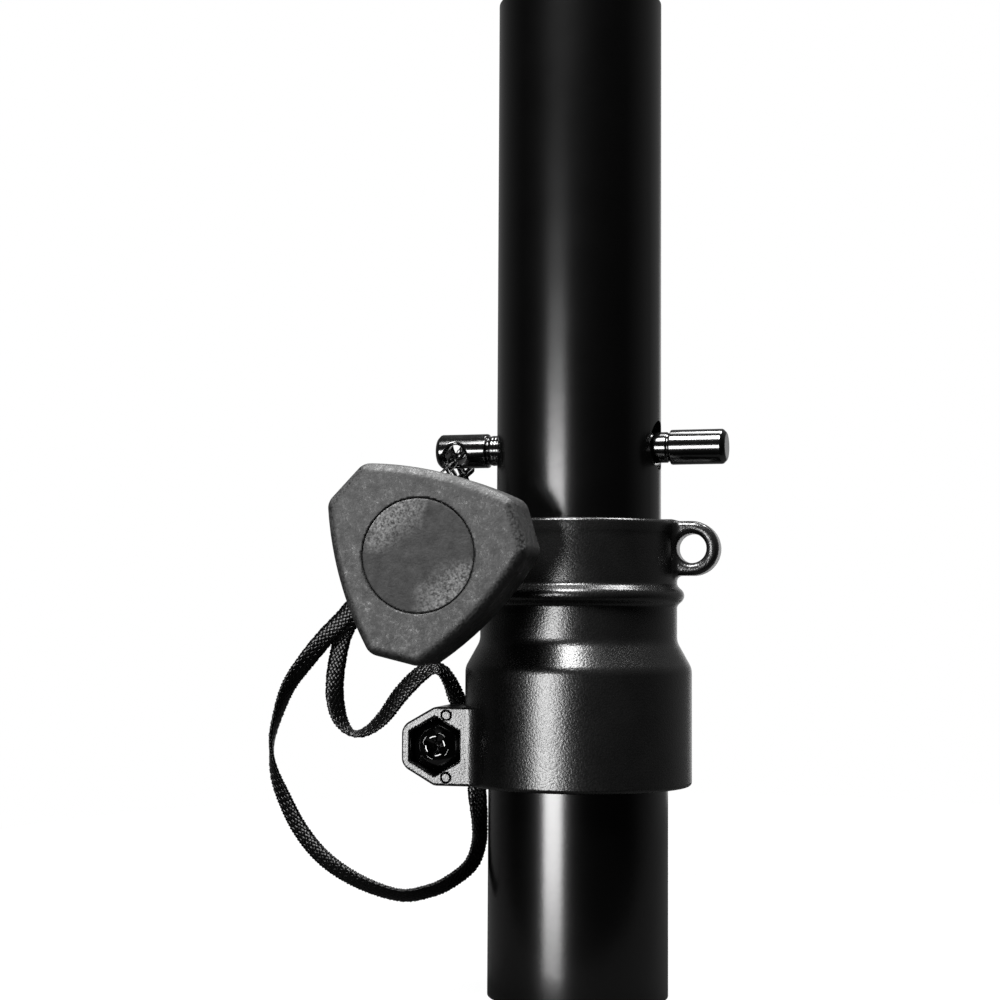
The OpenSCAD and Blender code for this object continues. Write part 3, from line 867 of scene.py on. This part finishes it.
def route_at(u):
    """The loop at place u, counted in points: a smooth cubic through the points, whose slope at each
    point is half the step between its neighbours. The closed loop has half a turn in it."""
    count = len(route)
    turn = np.array([0, 0, 0, half_twist, 0])
    whole = np.floor(u).astype(int)
    t = (u - whole)[:, None]
    p = [route[(whole + k) % count] + turn * ((whole + k) // count)[:, None] for k in (-1, 0, 1, 2)]
    a = 2 * p[1]
    b = p[2] - p[0]
    c = 2 * p[0] - 5 * p[1] + 4 * p[2] - p[3]
    d = 3 * p[1] - p[0] - 3 * p[2] + p[3]
    return 0.5 * (a + b * t + c * t**2 + d * t**3)


def lengths_along(points):
    """How far along a line each of its points is."""
    return np.concatenate([[0], np.cumsum(np.linalg.norm(np.diff(points, axis=0), axis=1))])


# The loop's length against its place, and the place on the flat oval rim against its angle
steps_per_point = 40
fine_u = np.linspace(0, len(route), steps_per_point * len(route) + 1)
fine_s = lengths_along(route_at(fine_u)[:, :3])
loop_length = fine_s[-1]
turns = round(loop_length / strand_lay)
rim_angle = np.linspace(0, 2 * np.pi, 721)
rim_length = lengths_along(np.stack([braid_w * np.cos(rim_angle), braid_t * np.sin(rim_angle)], 1))

# The core stops this many points inside both ends of the eye stretch
open_points = 3
open_ends = np.interp([first_of[2] + open_points, first_of[3] - open_points], fine_u, fine_s)


def unit(v):
    return v / np.linalg.norm(v, axis=-1, keepdims=True)


def braid_frame(s):
    """Centre, broad direction, thin direction, half width and half thickness at length s."""
    u = np.interp(s, fine_s, fine_u)
    nearby = 0.05
    here = route_at(u)
    run = unit(route_at(u + nearby)[:, :3] - route_at(u - nearby)[:, :3])
    toward = np.array([0, -1.0, 0])
    face = unit(toward - (run @ toward)[:, None] * run)
    angle = np.radians(here[:, 3])[:, None]
    wide = np.cross(run, face) * np.cos(angle) + face * np.sin(angle)
    thick = np.cross(run, wide)
    half_w = (braid_w + here[:, 4] * (drawn_w - braid_w)) / 2
    half_t = (braid_t + here[:, 4] * (drawn_t - braid_t)) / 2
    return here[:, :3], wide, thick, half_w, half_t


def flat_angle(phase):
    """The angle on the flat oval section at which that share of its rim has been passed."""
    share = np.mod(phase / (2 * np.pi), 1)
    return np.interp(share, rim_length / rim_length[-1], rim_angle)


def strand(s, number, way, gather):
    """Points of one strand: it goes round the flat section as it runs along, one way or the other,
    and passes over and under the strands that go the other way. Where the braid is gathered, the
    strands run together in bundles."""
    centre, wide, thick, half_w, half_t = braid_frame(s)
    swing = 2 * np.pi * turns * s / loop_length
    middle = number - number % bundle + (bundle - 1) / 2
    number = number + gather_pull * gather * (middle - number)
    angle = flat_angle(2 * np.pi * number / strands + way * swing)
    c, n = np.cos(angle), np.sin(angle)
    lift = way * weave * np.cos(strands * swing)
    a, b = half_w - strand_t, half_t - strand_t
    out = unit(np.stack([c / a, n / b], 1))
    u = a * c + lift * out[:, 0]
    v = b * n + lift * out[:, 1]
    line = centre + wide * u[:, None] + thick * v[:, None]
    return line, wide * out[:, :1] + thick * out[:, 1:]


def strand_rings(line, out, width):
    """Rings of an oval strand along a line, broad across the out direction."""
    run = unit(np.gradient(line, axis=0))
    across = unit(np.cross(run, out)) * width[:, None] / 2
    up = unit(np.cross(run, across)) * strand_t / 2
    phase = 2 * np.pi * np.arange(strand_sides) / strand_sides
    ring = across[:, None] * np.cos(phase)[:, None] + up[:, None] * np.sin(phase)[:, None]
    return line[:, None] + ring


def core_rings(s):
    """Rings of the flat dark core inside the strands."""
    centre, wide, thick, half_w, half_t = braid_frame(s)
    angle = 2 * np.pi * np.arange(core_sides) / core_sides
    u = (half_w - core_in_w)[:, None] * np.cos(angle)
    v = (half_t - core_in_t)[:, None] * np.sin(angle)
    return centre[:, None] + wide[:, None] * u[..., None] + thick[:, None] * v[..., None]


def tube_faces(rings, sides):
    """Quads between neighbouring rings of a tube."""
    i, k = np.meshgrid(np.arange(rings - 1), np.arange(sides), indexing="ij")
    a = i * sides + k
    b = i * sides + (k + 1) % sides
    return np.stack([a, b, b + sides, a + sides], -1).reshape(-1, 4)


def rod_faces(rings, sides):
    """Quads of a tube with its two ends closed."""
    k = np.arange(1, sides - 2, 2)
    end = np.stack([0 * k, k, k + 1, k + 2], 1)
    last = (rings - 1) * sides
    return np.concatenate([tube_faces(rings, sides), end[:, ::-1], end + last])


def put_rods(name, rods):
    """One mesh of closed rods, each given as its rings of points."""
    counts = [rod.shape[0] * rod.shape[1] for rod in rods]
    firsts = np.cumsum([0] + counts[:-1])
    faces = [rod_faces(*rod.shape[:2]) + first for rod, first in zip(rods, firsts)]
    return put_mesh(name, np.concatenate([rod.reshape(-1, 3) for rod in rods]), np.concatenate(faces))


def braid_piece(name, part):
    """One stretch of the lanyard: two sets of strands that wind opposite ways and cross, over a dark
    flat core. Near the pin's hole the core stops and the strands gather in thin bundles."""
    ends = [np.interp(first_of[k], fine_u, fine_s) for k in (part, part + 1)]
    s = np.linspace(ends[0], ends[1], int((ends[1] - ends[0]) / braid_step) + 2)
    gather = np.clip(np.minimum(s - open_ends[0], open_ends[1] - s) / gather_len, 0, 1)
    width = strand_w * (1 - gather_narrow * gather)
    ways = [(way, number) for way in (1, -1) for number in range(strands)]
    rods = [strand_rings(*strand(s, number, way, gather), width) for way, number in ways]
    runs = (s[s <= open_ends[0]], s[s >= open_ends[1]])
    rods += [core_rings(run) for run in runs if len(run) > 1]
    piece = put_rods(name, rods)
    piece.data.materials.append(slots["lanyard_braid"])
    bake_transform(piece)
    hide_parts("lanyard_" + name.split("_")[1])
    path = braid_frame(s)[0] * MM


braid_piece("braid_outer", 0)
braid_piece("braid_front", 1)
braid_piece("braid_eye", 2)
braid_piece("braid_back", 3)
braid_piece("braid_inner", 4)


# Camera, from the photograph's perspective

camera_turn = np.radians(12)
camera_pitch = np.radians(3.34)
camera_roll = np.radians(0.31)
camera_side = -16.84
camera_far = 405.0
camera_up = 80.3
picture = 1000
focal = 1900
sensor = 36.0
near_clip = 10.0


def placed(thing, side, up, back, place):
    """Sets where an object is, in metres, and the directions of its own three axes."""
    rows = [[side[k], up[k], back[k], place[k]] for k in range(3)]
    bpy.context.scene.collection.objects.link(thing)
    thing.matrix_world = Matrix(rows + [[0, 0, 0, 1]])


def make_camera():
    across = np.array([np.cos(camera_turn), np.sin(camera_turn), 0])
    back = np.array([np.sin(camera_turn), -np.cos(camera_turn), 0])
    top = np.array([0, 0, 1.0])
    place = camera_side * across + camera_far * back + camera_up * top
    behind = back * np.cos(camera_pitch) - top * np.sin(camera_pitch)
    upward = top * np.cos(camera_pitch) + back * np.sin(camera_pitch)
    c, s = np.cos(camera_roll), np.sin(camera_roll)
    across, upward = across * c + upward * s, upward * c - across * s
    data = bpy.data.cameras.new("camera")
    data.sensor_width = sensor
    data.lens = focal / picture * sensor
    data.clip_start = near_clip * MM
    camera = bpy.data.objects.new("camera", data)
    placed(camera, across, upward, behind, place * MM)
    bpy.context.scene.camera = camera


make_camera()


# Light, floor and background

lamp_aim = np.array([0, 0, 80.0]) * MM


def softbox(name, azimuth, elevation, distance, width, height, watts, hint=(0, 0, 1)):
    """A rectangular lamp, in metres, that looks at the middle of the part. Azimuth 0 is the front, and
    it grows to the left as the photograph sees it. Its height lies towards the hint."""
    a, e = np.radians(azimuth), np.radians(elevation)
    way = np.array([-np.sin(a) * np.cos(e), -np.cos(a) * np.cos(e), np.sin(e)])
    data = bpy.data.lights.new(name, "AREA")
    data.shape = "RECTANGLE"
    data.size, data.size_y = width, height
    data.energy = watts
    lamp = bpy.data.objects.new(name, data)
    side = unit(np.cross(hint, way))
    placed(lamp, side, np.cross(way, side), way, lamp_aim + distance * way)
    return lamp


left_box = softbox("left_box", 21.8, -3.3, distance=1.0, width=0.4, height=0.31, watts=11)
left_box.visible_diffuse = False
softbox("top_box", 220, 75.7, distance=0.8, width=0.6, height=0.3, watts=16, hint=(0, 1, 0))
softbox("front_box", 15, 58, distance=0.8, width=0.35, height=0.3, watts=18)


def make_world():
    """White to the camera everywhere, white behind the part for shine, and dim on the camera's side."""
    world = bpy.data.worlds.new("studio")
    world.use_nodes = True
    bpy.context.scene.world = world
    finish = Finish(world.node_tree)
    background = world.node_tree.nodes["Background"]
    background.inputs["Color"].default_value = grey(1)
    rays = finish.node("ShaderNodeLightPath").socket.node.outputs
    seen = Wire(finish, rays["Is Camera Ray"])
    shine = Wire(finish, rays["Is Glossy Ray"])
    through = Wire(finish, rays["Is Transmission Ray"])
    _, depth, _ = parts_of(finish, finish.node("ShaderNodeTexCoord", {}, {}, "Generated"))
    room = stretched(finish, depth, -0.2, 0.8, start=0.01, end=0.2)
    sweep = stretched(finish, depth, 0.93, 1.0, end=0.85, soft=True)
    finish.feed(background.inputs["Strength"], seen + through + (1 - seen - through) * (room + shine * sweep))


def make_floor():
    """A pale disc, just under the pole and behind it, that shows the part's shadow softly."""
    reach, inmost, back, drop, rings, spokes = 260.0, 0.02, 190.0, 0.2, 24, 96
    r = np.linspace(inmost, 1, rings) * reach
    a = 2 * np.pi * np.arange(spokes) / spokes
    x, y = np.outer(r, np.cos(a)), back + np.outer(r, np.sin(a))
    grid = np.stack([x, y, np.full_like(x, -drop)], -1)
    floor = put_mesh("floor", grid.reshape(-1, 3), tube_faces(rings, spokes))
    material, finish, surface = new_finish("floor_white", base_color=grey(0.8), roughness=0.9)
    glow_share = 0.95
    seen = finish.node("ShaderNodeLightPath", {}, {}, "Is Camera Ray")
    glow = finish.node("ShaderNodeEmission", {}, {"Color": grey(1), "Strength": seen})
    inputs = {0: glow_share, 1: Wire(finish, surface.outputs[0]), 2: glow}
    mixed = finish.node("ShaderNodeMixShader", {}, inputs)
    finish.feed(material.node_tree.nodes["Material Output"].inputs["Surface"], mixed)
    floor.data.materials.append(material)


make_world()
make_floor()
bpy.context.scene.view_settings.view_transform = "Standard"
